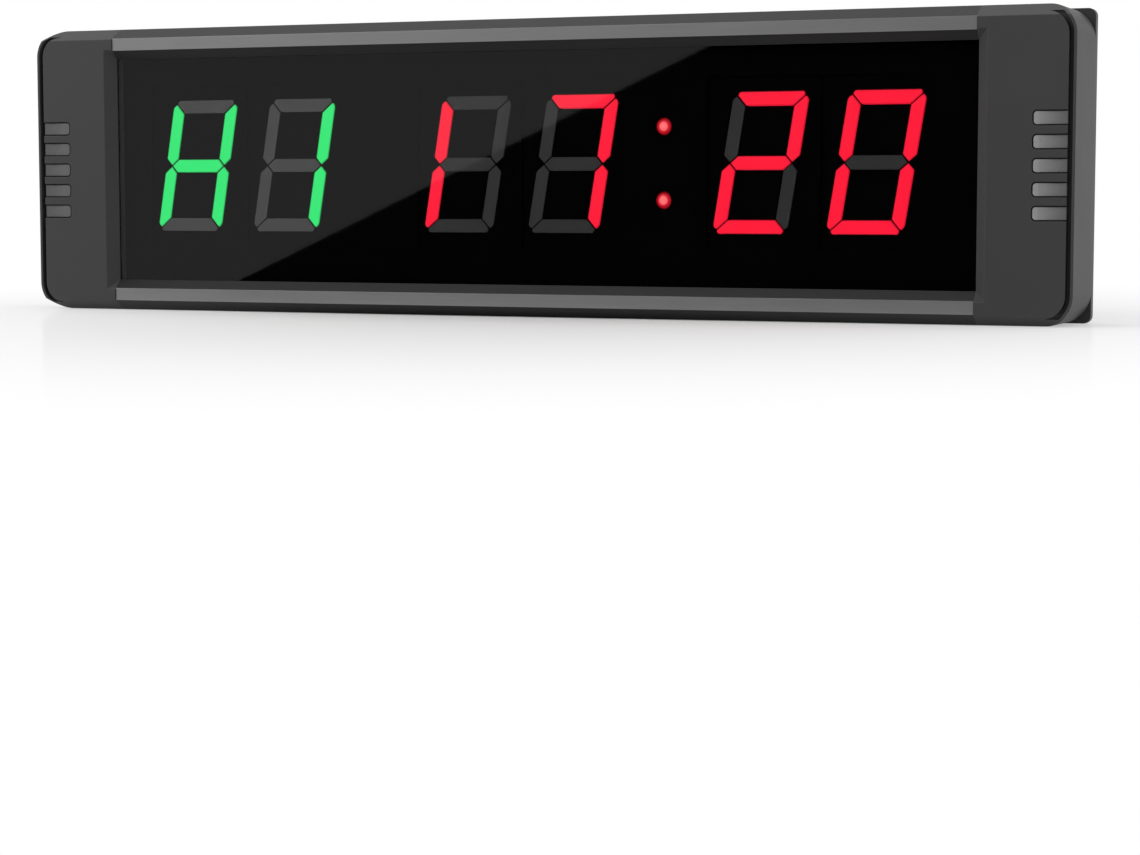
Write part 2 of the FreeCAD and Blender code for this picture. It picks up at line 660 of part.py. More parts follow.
def jack():
    """Power inlet: a square block on the board, its barrel just through the rear panel."""
    half = JACK_BODY / 2
    block = box(JACK_X - half, JACK_X + half, BOARD_BACK + 0.05, PANEL_FACE - 0.15,
                JACK_HEIGHT - half, JACK_HEIGHT + half)
    barrel = rod(JACK_X, JACK_HEIGHT, JACK_BARREL_RADIUS, PANEL_FACE - 1, PANEL_BACK + 0.4)
    mouth = PANEL_BACK + 0.4
    bore = rod(JACK_X, JACK_HEIGHT, JACK_BORE, mouth - JACK_BORE_DEPTH, mouth + 1)
    return fuse([block, barrel]).cut(bore)


def jack_pin():
    mouth = PANEL_BACK + 0.4
    return rod(JACK_X, JACK_HEIGHT, JACK_PIN_RADIUS, mouth - JACK_BORE_DEPTH, mouth - 0.8)


def controller():
    """Microcontroller with its legs on four sides."""
    half = CONTROLLER_SIDE / 2
    face = BOARD_BACK + 0.15
    pieces = [box(CHIP_X - half, CHIP_X + half, face, face + CONTROLLER_THICKNESS,
                  MIDDLE_HEIGHT - half, MIDDLE_HEIGHT + half)]
    count = 8
    reach = half + CONTROLLER_LEG
    for i in range(count):
        along = (i - (count - 1) / 2) * 1.0
        pieces.append(box(CHIP_X - reach, CHIP_X + reach, face - 0.1, face + 0.15,
                          MIDDLE_HEIGHT + along - 0.15, MIDDLE_HEIGHT + along + 0.15))
        pieces.append(box(CHIP_X + along - 0.15, CHIP_X + along + 0.15, face - 0.1, face + 0.15,
                          MIDDLE_HEIGHT - reach, MIDDLE_HEIGHT + reach))
    return fuse(pieces)


def drivers():
    face = BOARD_BACK + 0.15
    chips = []
    for x in DRIVER_XS:
        half = DRIVER_LENGTH / 2
        low = DIGIT_MIDDLE - DRIVER_WIDTH / 2
        high = DIGIT_MIDDLE + DRIVER_WIDTH / 2
        pieces = [box(x - half, x + half, face, face + DRIVER_THICKNESS, low, high)]
        for i in range(10):
            along = x + (i - 4.5) * 1.27
            pieces.append(box(along - 0.2, along + 0.2, face - 0.1, face + 0.2, low - 1.4,
                              high + 1.4))
        chips.append(fuse(pieces))
    return Part.makeCompound(chips)


def crystal():
    """Metal can with rounded ends, beside the microcontroller."""
    face = BOARD_BACK + 0.05
    x, z = CHIP_X - 14.0, MIDDLE_HEIGHT
    can = fuse([box(x - 2.2, x + 2.2, face, face + 3.4, z - 3.4, z + 3.4),
                rod(x, z - 3.4, 2.2, face, face + 3.4), rod(x, z + 3.4, 2.2, face, face + 3.4)])
    return can


def capacitors():
    face = BOARD_BACK + 0.05
    cans = []
    for x, z in ((JACK_X + 10.0, 14.5), (JACK_X + 10.0, 22.0), (JACK_X + 17.0, 22.0),
                 (CHIP_X + 13.0, MIDDLE_HEIGHT - 3.0)):
        base = box(x - 2.7, x + 2.7, face, face + 0.8, z - 2.7, z + 2.7)
        cans.append(fuse([base, rod(x, z, CAPACITOR_RADIUS, face + 0.5, face + CAPACITOR_HEIGHT)]))
    return Part.makeCompound(cans)


def resistors():
    face = BOARD_BACK + 0.02
    chips = []
    for row_x in DRIVER_XS:
        for i in range(RESISTORS_PER_ROW):
            x = row_x + (i - (RESISTORS_PER_ROW - 1) / 2) * RESISTOR_PITCH * 0.6
            z = DIGIT_MIDDLE - 11.0
            chips.append(box(x - RESISTOR_WIDTH / 2, x + RESISTOR_WIDTH / 2, face,
                             face + RESISTOR_THICKNESS, z - RESISTOR_LENGTH / 2,
                             z + RESISTOR_LENGTH / 2))
    return Part.makeCompound(chips)


def cell_holder():
    face = BOARD_BACK + 0.05
    back = face + HOLDER_THICKNESS
    block = rod(CELL_X, DIGIT_MIDDLE, CELL_RADIUS + 1.6, face, back)
    well = rod(CELL_X, DIGIT_MIDDLE, CELL_RADIUS + 0.2, face + HOLDER_FLOOR, back + 1)
    finger_slot = box(CELL_X - 2.5, CELL_X + 2.5, face + HOLDER_FLOOR, back + 1, DIGIT_MIDDLE,
                      DIGIT_MIDDLE + CELL_RADIUS + 3)
    return block.cut([well, finger_slot])


def cell():
    face = BOARD_BACK + 0.05 + HOLDER_FLOOR + 0.02
    return rod(CELL_X, DIGIT_MIDDLE, CELL_RADIUS, face, face + CELL_THICKNESS)


# ---- hanging ears ----

def hanging_ear(x):
    """Steel ear. It swings up over the middle of the panel, clear of the end cap, and then hangs
    on a screw head: the slot points up from the hole."""
    hole_z = EAR_PIVOT_HEIGHT - EAR_REACH + KEYHOLE_SLOT_LENGTH
    end_z = EAR_PIVOT_HEIGHT - EAR_REACH
    half = EAR_WIDTH / 2
    blank = fuse([box(x - half, x + half, EAR_FACE, EAR_BACK, end_z, EAR_PIVOT_HEIGHT),
                  rod(x, EAR_PIVOT_HEIGHT, half, EAR_FACE, EAR_BACK),
                  rod(x, end_z, half, EAR_FACE, EAR_BACK)])
    slot = KEYHOLE_SLOT / 2
    return blank.cut([rod(x, EAR_PIVOT_HEIGHT, PIVOT_HOLE, EAR_FACE - 1, EAR_BACK + 1),
                      rod(x, hole_z, KEYHOLE_RADIUS, EAR_FACE - 1, EAR_BACK + 1),
                      box(x - slot, x + slot, EAR_FACE - 1, EAR_BACK + 1, end_z, hole_z),
                      rod(x, end_z, slot, EAR_FACE - 1, EAR_BACK + 1)])


def pivot_screw(x):
    z = EAR_PIVOT_HEIGHT
    back = PIVOT_HEAD_FACE + PIVOT_HEAD_HEIGHT
    screw = fuse([rod(x, z, PIVOT_THREAD, PANEL_FACE - NUT_HEIGHT - 0.8, PANEL_BACK + 0.1),
                  rod(x, z, PIVOT_SHOULDER, PANEL_BACK, PIVOT_HEAD_FACE + 0.1),
                  rod(x, z, PIVOT_HEAD_RADIUS, PIVOT_HEAD_FACE, back)])
    cross = [box(x - 2.4, x + 2.4, back - 0.8, back + 1, z - 0.45, z + 0.45),
             box(x - 0.45, x + 0.45, back - 0.8, back + 1, z - 2.4, z + 2.4)]
    return screw.cut(cross)


def pivot_washer(x):
    ring = rod(x, EAR_PIVOT_HEIGHT, WASHER_RADIUS, PANEL_BACK, PANEL_BACK + WASHER_THICKNESS)
    return ring.cut(rod(x, EAR_PIVOT_HEIGHT, PIVOT_SHOULDER + SCREW_PLAY, PANEL_BACK - 1,
                        PANEL_BACK + 1))


def pivot_nut(x):
    corner = NUT_WIDTH / math.sqrt(3)
    corners = [point(x + corner * math.cos(math.radians(60 * i)), 0,
                     EAR_PIVOT_HEIGHT + corner * math.sin(math.radians(60 * i))) for i in range(6)]
    hexagon = Part.Face(Part.makePolygon(corners + [corners[0]]))
    nut = prism(hexagon, PANEL_FACE - NUT_HEIGHT - 0.05, PANEL_FACE - 0.05)
    return nut.cut(rod(x, EAR_PIVOT_HEIGHT, PIVOT_THREAD + SCREW_PLAY, PANEL_FACE - NUT_HEIGHT - 1,
                       PANEL_FACE + 1))


# ---- write every part ----

save("top_rail", rail(True))
save("bottom_rail", rail(False))
RIGHT_CAP = end_cap()
RIGHT_BACK = cap_back()
RIGHT_PADS = grip_pads()
RIGHT_SCREWS = cap_screws()
for side, place in (("right", lambda shape: shape), ("left", mirror_x)):
    save(side + "_end_cap", place(RIGHT_CAP))
    save(side + "_cap_back", place(RIGHT_BACK))
    save(side + "_grip_pads", place(RIGHT_PADS))
    save(side + "_cap_screws", place(RIGHT_SCREWS))
save("front_lens", lens())
save("light_mask", light_mask())
save("display_board", board())
save("rear_panel", rear_panel())
save("rear_panel_screws", panel_screws())
for number, centre_x in enumerate(DIGIT_CENTRES, start=1):
    lit = SHOWN[number - 1]
    unlit = "".join(name for name in "abcdefg" if name not in lit)
    save("digit_%d_housing" % number, housing(centre_x))
    save("digit_%d_%s_segments" % (number, COLOURS[number - 1]), segments(centre_x, lit))
    save("digit_%d_unlit_segments" % number, segments(centre_x, unlit))
save("digit_pins", pins())
save("colon_module", colon_module())
save("colon_dots", colon_dots())
save("infrared_receiver", receiver())
save("buzzer", buzzer())
save("power_inlet", jack())
save("power_inlet_pin", jack_pin())
save("microcontroller", controller())
save("segment_drivers", drivers())
save("crystal", crystal())
save("capacitors", capacitors())
save("resistors", resistors())
save("clock_cell_holder", cell_holder())
save("clock_cell", cell())
for side, ear_x in (("right", EAR_X), ("left", -EAR_X)):
    save(side + "_hanging_ear", hanging_ear(ear_x))
    save(side + "_pivot_screw", pivot_screw(ear_x))
    save(side + "_pivot_washer", pivot_washer(ear_x))
    save(side + "_pivot_nut", pivot_nut(ear_x))
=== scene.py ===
# %% [markdown]
# # A wall timer with slanted digits
#
# The object is an interval timer: six seven-segment digits and a colon behind a smoked lens, held
# by two aluminium rails and two plastic end caps. Its pieces were built in CAD at their real size.
# This file gives each of them its finish, models the small things that CAD leaves out, and sets up
# a plain studio.

# %% Load the frame
import math

import bmesh
import bpy
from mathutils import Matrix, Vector


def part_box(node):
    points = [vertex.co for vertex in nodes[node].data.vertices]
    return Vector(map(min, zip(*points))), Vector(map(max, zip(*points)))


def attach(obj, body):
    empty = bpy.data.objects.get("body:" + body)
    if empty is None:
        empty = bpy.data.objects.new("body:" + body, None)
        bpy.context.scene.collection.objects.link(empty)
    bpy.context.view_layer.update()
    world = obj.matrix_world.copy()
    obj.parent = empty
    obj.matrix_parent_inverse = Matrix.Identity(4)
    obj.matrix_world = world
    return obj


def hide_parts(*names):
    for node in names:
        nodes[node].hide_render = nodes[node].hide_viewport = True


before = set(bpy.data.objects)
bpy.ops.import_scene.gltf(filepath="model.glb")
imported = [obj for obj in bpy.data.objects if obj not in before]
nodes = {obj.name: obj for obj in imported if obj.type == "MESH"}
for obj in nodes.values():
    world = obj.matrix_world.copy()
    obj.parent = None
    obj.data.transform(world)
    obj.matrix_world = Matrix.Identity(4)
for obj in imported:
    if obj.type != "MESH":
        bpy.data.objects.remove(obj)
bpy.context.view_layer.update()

MM = 0.001

# %% [markdown]
# ## Writing shader maths as expressions
#
# A shader can be wired by hand, one node at a time, but sums are easier to read as sums. The class
# below wraps a socket. Adding or multiplying two values adds the Math node that does it.


# %% A value in a shader
class Value:
    def __init__(self, tree, socket):
        self.tree = tree
        self.socket = socket

    def math(self, operation, *others):
        return node(self.tree, "ShaderNodeMath", {"operation": operation}, [self, *others])

    def __add__(self, other):
        return self.math("ADD", other)

    def __sub__(self, other):
        return self.math("SUBTRACT", other)

    def __rsub__(self, other):
        return node(self.tree, "ShaderNodeMath", {"operation": "SUBTRACT"}, [other, self])

    def __mul__(self, other):
        return self.math("MULTIPLY", other)

    def __truediv__(self, other):
        return self.math("DIVIDE", other)

    def __gt__(self, other):
        return self.math("GREATER_THAN", other)

    __radd__ = __add__
    __rmul__ = __mul__


def node(tree, kind, settings=None, inputs=(), output=0):
    """Add one node. settings are set first; inputs are values or links, by name or in order."""
    made = tree.nodes.new(kind)
    for key, value in (settings or {}).items():
        if key == "stops":
            ramp = made.color_ramp
            while len(ramp.elements) < len(value):
                ramp.elements.new(0.5)
            for element, (position, colour) in zip(ramp.elements, value):
                element.position = position
                element.color = (*colour, 1)
        else:
            setattr(made, key, value)
    pairs = inputs.items() if isinstance(inputs, dict) else enumerate(inputs)
    for key, value in pairs:
        if isinstance(value, Value):
            tree.links.new(value.socket, made.inputs[key])
        elif value is not None:
            made.inputs[key].default_value = value
    return Value(tree, made.outputs[output])


# %% [markdown]
# ## Tools that every finish uses
#
# A finish starts as one Principled shader. Its grain, paler edges and colour changes come from
# noise that is read from the object's own coordinates, so it stays on the piece when the piece
# moves.


# %% Start a finish
def grey(level):
    return (level, level, level, 1)


def start(name, **sockets):
    """A new material with one Principled shader; returns the material, its tree and the shader."""
    material = bpy.data.materials.new(name)
    material.use_nodes = True
    tree = material.node_tree
    shader = tree.nodes["Principled BSDF"]
    for key, value in sockets.items():
        shader.inputs[key.replace("_", " ")].default_value = value
    return material, tree, shader


def bare(name):
    """A new material that has no shader yet; returns the material and its tree."""
    material = bpy.data.materials.new(name)
    material.use_nodes = True
    tree = material.node_tree
    tree.nodes.remove(tree.nodes["Principled BSDF"])
    return material, tree


def surface(tree, shader):
    """Make this the shader that shows."""
    tree.links.new(shader.socket, tree.nodes["Material Output"].inputs["Surface"])


def place(tree, scale=(1, 1, 1)):
    """Object coordinates, stretched by scale."""
    here = node(tree, "ShaderNodeTexCoord", output="Object")
    return node(tree, "ShaderNodeMapping", inputs={"Vector": here, "Scale": scale})


def noise(tree, size, stretch=(1, 1, 1), detail=3.0, roughness=0.55):
    """Noise from 0 to 1 whose spots are about size metres across."""
    where = place(tree, tuple(part / size for part in stretch))
    return node(tree, "ShaderNodeTexNoise",
                inputs={"Vector": where, "Scale": 1.0, "Detail": detail, "Roughness": roughness})


def blend(tree, factor, first, second):
    """Mix two colours."""
    return node(tree, "ShaderNodeMix", {"data_type": "RGBA"}, {0: factor, 6: first, 7: second},
                output=2)


def vector(tree, operation, *parts, output="Value"):
    """One Vector Math node. An operation that gives a number gives it at Value."""
    return node(tree, "ShaderNodeVectorMath", {"operation": operation}, parts, output=output)


def mix_shaders(tree, factor, first, second):
    """first where factor is 0, second where it is 1."""
    return node(tree, "ShaderNodeMixShader", inputs={0: factor, 1: first, 2: second})


def rounded(tree, radius):
    """The surface's direction as it would be if every edge were rounded off by radius."""
    return node(tree, "ShaderNodeBevel", {"samples": 6}, {"Radius": radius})


FLAT_COSINE = 0.995       # of the angle between a face and its rounded direction, on the flat
EDGE_COSINE = 0.9         # and at an edge


def edges(tree, radius):
    """0 on a flat face, rising to 1 within radius of an edge."""
    flat = node(tree, "ShaderNodeNewGeometry", output="True Normal")
    same = vector(tree, "DOT_PRODUCT", flat, rounded(tree, radius))
    return node(tree, "ShaderNodeMapRange", inputs={
        "Value": same, "From Min": FLAT_COSINE, "From Max": EDGE_COSINE})


def bump(tree, shader, height, distance, strength=1.0, edge=0.0):
    """Raise the surface by height times distance, with its edges rounded off by edge."""
    made = {"Height": height, "Distance": distance, "Strength": strength}
    if edge:
        made["Normal"] = rounded(tree, edge)
    link(node(tree, "ShaderNodeBump", inputs=made), shader, "Normal")


def link(value, shader, socket):
    value.tree.links.new(value.socket, shader.inputs[socket])


def paint(material, *names):
    """Give a material to CAD nodes, through their own material slots."""
    for name in names:
        piece = nodes[name]
        if not piece.material_slots:
            piece.data.materials.append(material)
        for entry in piece.material_slots:
            entry.link = "OBJECT"
            entry.material = material


# %% [markdown]
# ## Moulded plastic
#
# The end caps are injection moulded and spark eroded to a fine satin grain. The grain is far too
# small to model, so it is noise on the normal, with a slower noise that shifts roughness a little.


# %% Plastic finishes
def moulded(name, level, roughness, grain=0.35, depth=0.02, specular=0.4, edge=0.0, pale_band=0.0):
    """In millimetres: grain is the size of its spots and depth their height, edge the radius of
    its rounded edges, and the last argument the width of a paler band along them."""
    material, tree, shader = start(name, Specular_IOR_Level=specular)
    cloud = noise(tree, 18 * MM)
    fine = noise(tree, grain * MM, detail=2.0)
    colour = blend(tree, cloud, grey(level * 0.94), grey(level * 1.06))
    # A paler band along the edges, broken up by the slow noise.
    if pale_band:
        paler_edges = edges(tree, pale_band * MM) * (0.35 + cloud * 0.5)
        colour = blend(tree, paler_edges, colour, grey(level * 1.8))
    link(colour, shader, "Base Color")
    link(roughness - 0.04 + cloud * 0.08, shader, "Roughness")
    bump(tree, shader, fine, depth * MM, 0.5, edge * MM)
    return material


cap_plastic = moulded("cap_plastic", 0.046, 0.5, specular=0.22, edge=0.35, pale_band=0.3)
back_plastic = moulded("back_plastic", 0.03, 0.5, grain=0.8, depth=0.05, edge=0.3, pale_band=0.25)
housing_plastic = moulded("housing_plastic", 0.0015, 0.9, specular=0.02)
inlet_plastic = moulded("inlet_plastic", 0.012, 0.3)
chip_plastic = moulded("chip_plastic", 0.02, 0.55)
receiver_plastic = moulded("receiver_plastic", 0.008, 0.12)
nylon = moulded("nylon", 0.6, 0.4)
mask_film = moulded("mask_film", 0.0015, 0.9, specular=0.02)

# %% [markdown]
# ## Grip pads
#
# Each end cap has five satin pads let into its face. A pad has painted shade along its edge, where
# it drops into its pocket, and the right ones carry a painted sheen, light to dark across the cap.
# The pads of a side are one piece, so the painted sheen follows the distance from the middle of the
# case.

# %% Pad finish
pads_low, pads_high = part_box("right_grip_pads")
PAD_INNER, PAD_OUTER = pads_low.x, pads_high.x
# The dark edge of a pad is painted shade.
PAD_EDGE_SHADE = 0.28           # width of the dark edge, in millimetres
print("pads from", round(PAD_INNER / MM, 1), "to", round(PAD_OUTER / MM, 1), "mm from the middle")


def inlay(name, inner_tone_and_sheen, outer):
    """Satin grey inlay with painted shade along its edge, where it drops into its pocket. Its tone
    runs from the first level, nearest the display, to the second, at the side of the case, as
    painted sheen."""
    material, tree, shader = start(name, Specular_IOR_Level=0.4)
    cloud = noise(tree, 9 * MM)
    fine = noise(tree, 0.5 * MM, detail=2.0)
    # Painted sheen: the tone changes with the distance from the middle of the case.
    across = node(tree, "ShaderNodeSeparateXYZ", inputs=[place(tree)])
    share = node(tree, "ShaderNodeMapRange", inputs={
        "Value": across.math("ABSOLUTE"), "From Min": PAD_INNER, "From Max": PAD_OUTER})
    colour = blend(tree, share, grey(inner_tone_and_sheen), grey(outer))
    colour = blend(tree, cloud * 0.12, colour, grey(outer))
    # Painted shade along the edge, where the pad drops into its pocket.
    link(blend(tree, edges(tree, PAD_EDGE_SHADE * MM), colour, grey(0.012)), shader, "Base Color")
    link(0.24 + cloud * 0.08, shader, "Roughness")
    bump(tree, shader, fine, 0.02 * MM, 0.4)
    return material


# The pads are one material; the right ones are painted with a sheen, lighter toward the display.
left_inlay = inlay("left_inlay", 0.11, 0.1)
right_inlay_painted_sheen = inlay("right_inlay_painted_sheen", 0.3, 0.1)

# %% [markdown]
# ## Brushed aluminium
#
# The rails are brushed along their length and anodised dark grey. Brushing leaves long fine lines,
# which is noise that is stretched along X and squeezed across it. The bevels on each side of the
# flat band are given painted shade, darker than the band, so the shader looks at which way a face
# points.


# %% Metal finishes
FORWARD_COSINE = 0.97     # a face that points forward at least this squarely counts as the band


def brushed(name, level, roughness, stretch=(0.012, 1, 1), size=0.22, contrast=0.25, metallic=1.0,
            shaded_slopes=None, edge=0.0):
    """size is the width of a line in millimetres before stretch. Where a level for the sloping
    faces is given, the faces that don't point straight forward get it as painted shade and are not
    metallic."""
    material, tree, shader = start(name, Metallic=metallic, Specular_IOR_Level=0.15)
    lines = noise(tree, size * MM, stretch, detail=4.0)
    slow = noise(tree, 30 * MM, (0.3, 1, 1))
    shade = lines * contrast + slow * 0.12
    colour = blend(tree, shade, grey(level * 0.75), grey(level * 1.6))
    if shaded_slopes:
        # Painted shade: the faces that don't point straight forward take the darker colour.
        facing = node(tree, "ShaderNodeTexCoord", output="Normal")
        forward = vector(tree, "DOT_PRODUCT", facing, (0, -1, 0)) > FORWARD_COSINE
        dark = blend(tree, shade, grey(shaded_slopes * 0.75), grey(shaded_slopes * 1.6))
        colour = blend(tree, forward, dark, colour)
        link(forward * metallic, shader, "Metallic")
    link(colour, shader, "Base Color")
    link(roughness + lines * 0.15, shader, "Roughness")
    bump(tree, shader, lines, 0.008 * MM, 0.5, edge * MM)
    return material


# The rail's bevels get painted shade, darker than the flat band.
rail_metal = brushed("rail_metal", 0.26, 0.34, metallic=0.6, shaded_slopes=0.024, edge=0.15)
zinc = brushed("zinc", 0.5, 0.3, stretch=(1, 1, 0.05), contrast=0.2, edge=0.25)
black_steel = brushed("black_steel", 0.05, 0.35, stretch=(1, 1, 1), edge=0.15)
tin = brushed("tin", 0.7, 0.2, stretch=(1, 1, 1))
brass = brushed("brass", 0.6, 0.25, stretch=(1, 1, 1))

# %% [markdown]
# ## Painted panel
#
# The rear panel is sheet steel under black powder paint, which flows out to a fine orange peel. One
# noise gives both the dimples and where the paint is a little duller.


# %% Paint finish
def powder_coat(name, level):
    material, tree, shader = start(name, Specular_IOR_Level=0.4)
    peel = noise(tree, 0.9 * MM, detail=2.0)
    cloud = noise(tree, 40 * MM)
    link(blend(tree, cloud, grey(level * 0.9), grey(level * 1.1)), shader, "Base Color")
    link(0.42 + peel * 0.12, shader, "Roughness")
    bump(tree, shader, peel, 0.06 * MM, 0.6, 0.2 * MM)
    return material


panel_paint = powder_coat("panel_paint", 0.024)

# %% [markdown]
# ## The board
#
# A circuit board is glass cloth under green lacquer. The weave shows as a faint grid.


# %% Board finish
def laminate():
    material, tree, shader = start("laminate", Specular_IOR_Level=0.5)
    weave = noise(tree, 0.5 * MM, detail=1.0)
    link(blend(tree, weave, (0.004, 0.05, 0.02, 1), (0.008, 0.085, 0.035, 1)), shader, "Base Color")
    link(0.28 + weave * 0.1, shader, "Roughness")
    return material


board_green = laminate()

# %% [markdown]
# ## Light pipes
#
# Each segment is a block of milky resin over an LED. A lit one glows evenly and is dark along its
# edge, where the resin meets its well; an unlit one is plain grey. The lens takes some of the
# light, so the glow is set brighter by what the lens passes.

# %% Segment finishes
LENS_TINT = 0.86          # what each of the lens's two faces lets through
LENS_PASS = 0.71          # what is left after both, and after the front face has mirrored its share
RIM = 0.42                # width of the dark edge, in millimetres


def lit(name, colour, rim_share=0.18):
    material, tree, shader = start(name, Roughness=0.4, Base_Color=(0.01, 0.01, 0.01, 1))
    cloud = noise(tree, 3.0 * MM)
    dim = tuple(part * 0.96 for part in colour)
    middle = blend(tree, cloud, (*dim, 1), (*colour, 1))
    rim = tuple(part * rim_share for part in colour)
    link(blend(tree, edges(tree, RIM * MM), middle, (*rim, 1)), shader, "Emission Color")
    shader.inputs["Emission Strength"].default_value = 1.0 / LENS_PASS
    return material


green_light = lit("green_light", (0.018, 0.785, 0.165))
red_light = lit("red_light", (1.0, 0.004, 0.035))
clear_resin = moulded("clear_resin", 0.1, 0.5)
smoke_resin = moulded("smoke_resin", 0.05, 0.5)

# %% [markdown]
# ## The lens
#
# Polished acrylic does two things: it lets most light through, and it mirrors a little, more at a
# glancing angle. A Fresnel node gives the split between the two. Light isn't bent here, so at the
# back face that node would see it as trapped at a slant and hide the digits from the side; only
# the front face mirrors.


# %% Lens finish
def acrylic():
    material, tree = bare("smoked_acrylic")
    clear = node(tree, "ShaderNodeBsdfTransparent", inputs={"Color": grey(LENS_TINT)})
    gloss = node(tree, "ShaderNodeBsdfGlossy", inputs={"Color": grey(1.0), "Roughness": 0.02})
    back = node(tree, "ShaderNodeNewGeometry", output="Backfacing")
    share = node(tree, "ShaderNodeFresnel", inputs={"IOR": 1.49}) * (1 - back)
    surface(tree, mix_shaders(tree, share, clear, gloss))
    return material


lens_acrylic = acrylic()

# %% [markdown]
# ## Dressing the CAD nodes
#
# Nodes of one kind share the end of their name, so a table of endings gives most of them their
# finish. The first ending that fits is used. The rest are one of a kind and are named.

# %% Dress the CAD nodes
FINISH_OF_ENDING = [
    ("_rail", rail_metal),
    ("_end_cap", cap_plastic),
    ("_cap_back", back_plastic),
    ("left_grip_pads", left_inlay),
    ("right_grip_pads", right_inlay_painted_sheen),
    ("_screws", black_steel),
    ("_housing", housing_plastic),
    ("green_segments", green_light),
    ("red_segments", red_light),
    ("digit_1_unlit_segments", clear_resin),
    ("digit_2_unlit_segments", clear_resin),
    ("unlit_segments", smoke_resin),
    ("_washer", nylon),
    ("_hanging_ear", zinc),
    ("_pivot_screw", zinc),
    ("_pivot_nut", zinc),
]
for name in nodes:
    for ending, finish in FINISH_OF_ENDING:
        if name.endswith(ending):
            paint(finish, name)
            break
paint(housing_plastic, "colon_module", "clock_cell_holder")
paint(lens_acrylic, "front_lens")
paint(mask_film, "light_mask")
paint(board_green, "display_board")
paint(panel_paint, "rear_panel")
paint(tin, "digit_pins", "crystal", "capacitors", "clock_cell")
paint(receiver_plastic, "infrared_receiver", "buzzer")
paint(inlet_plastic, "power_inlet")
paint(brass, "power_inlet_pin")
paint(chip_plastic, "microcontroller", "segment_drivers", "resistors")
print("dressed", len(nodes), "nodes")

# %% [markdown]
# ## The colon's two LEDs
#
# Each dot of the colon is a clear LED whose end is a small dome. In CAD it is a plain rod. A dome
# can be turned with Spin, but here it grows from the rod itself: its end face is inset and pushed
# forward a few times, each step narrower and shorter than the last, along a quarter circle. One
# LED is modelled and the other is its copy. The glow is hot in the middle and falls off toward the
# rim.

# %% Model the domes
DOME_STEPS = 6
DOME_HEIGHT = 1.1 * MM
DOME_SIDES = 40
DOME_TURN = 84            # degrees of the quarter circle; the small flat that is left closes it


def deselect():
    if bpy.context.object:
        bpy.ops.object.mode_set(mode="OBJECT")
    bpy.ops.object.select_all(action="DESELECT")


def led(name, centre, radius, front, back):
    """A rod along Y, from back to front, whose front end is rounded within its own length."""
    deselect()
    shoulder = front + DOME_HEIGHT
    bpy.ops.mesh.primitive_cylinder_add(
        vertices=DOME_SIDES, radius=radius, depth=back - shoulder, end_fill_type="NGON",
        location=(centre.x, (back + shoulder) / 2, centre.z), rotation=(math.radians(90), 0, 0))
    piece = bpy.context.object
    piece.name = name
    bpy.ops.object.transform_apply(location=True, rotation=True, scale=True)
    bpy.ops.object.mode_set(mode="EDIT")
    bpy.ops.mesh.select_mode(type="FACE")
    bpy.ops.mesh.select_all(action="DESELECT")
    mesh = bmesh.from_edit_mesh(piece.data)
    for face in mesh.faces:
        face.select_set(face.normal.y < -0.9)
    bmesh.update_edit_mesh(piece.data)
    reach, rise = radius, 0.0
    for step in range(1, DOME_STEPS + 1):
        turn = math.radians(DOME_TURN) * step / DOME_STEPS
        next_reach, next_rise = radius * math.cos(turn), DOME_HEIGHT * math.sin(turn)
        bpy.ops.mesh.inset(thickness=reach - next_reach, use_even_offset=True)
        bpy.ops.transform.translate(value=(0, rise - next_rise, 0))
        reach, rise = next_reach, next_rise
    bpy.ops.object.mode_set(mode="OBJECT")
    return piece


dots_low, dots_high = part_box("colon_dots")
dot_radius = (dots_high.x - dots_low.x) / 2
dot_x = (dots_low.x + dots_high.x) / 2
dot_centres = [Vector((dot_x, 0, dots_low.z + dot_radius)),
               Vector((dot_x, 0, dots_high.z - dot_radius))]
colon_leds = led("colon_leds", dot_centres[0], dot_radius, dots_low.y, dots_high.y)
deselect()
colon_leds.select_set(True)
bpy.ops.object.duplicate(linked=False)
bpy.ops.transform.translate(value=dot_centres[1] - dot_centres[0])
colon_leds.select_set(True)
bpy.context.view_layer.objects.active = colon_leds
bpy.ops.object.join()
bpy.ops.object.shade_smooth_by_angle(angle=math.radians(30))
bpy.ops.object.transform_apply(location=True, rotation=True, scale=True)
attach(colon_leds, "case")
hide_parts("colon_dots")
print("colon LEDs", len(colon_leds.data.polygons), "faces")


# %% Their glow
def hot_glow():
    material, tree, shader = start("dot_light", Roughness=0.2, Base_Color=(0.02, 0.004, 0.004, 1))
    across = vector(tree, "MULTIPLY", place(tree), (1, 0, 1), output="Vector")
    away = [vector(tree, "DISTANCE", across, tuple(centre)) for centre in dot_centres]
    nearest = away[0].math("MINIMUM", away[1])
    share = nearest / dot_radius
    colour = node(tree, "ShaderNodeValToRGB",
                  {"stops": [(0.0, (1.0, 0.2, 0.21)), (0.44, (1.0, 0.13, 0.14)),
                             (0.56, (0.66, 0.012, 0.03)), (0.78, (0.36, 0.005, 0.012)),
                             (1.0, (0.05, 0.001, 0.002))]}, [share])
    link(colour, shader, "Emission Color")
    shader.inputs["Emission Strength"].default_value = 1.0 / LENS_PASS
    return material


colon_leds.data.materials.clear()
colon_leds.data.materials.append(hot_glow())

# %% [markdown]
# ## Camera
#
# The timer is seen from its right, almost level, with a long lens, so the lines of the case run
# together only gently.

# %% Place the camera
CAMERA_PLACE = Vector((284.0, -669.8, 33.3)) * MM
CAMERA_TURN = 22.18       # degrees to the left of straight ahead
CAMERA_TILT = -5.12       # degrees; below level is negative
FOCAL_LENGTH = 81.2       # in millimetres, as the sensor is
SENSOR_WIDTH = 36.0

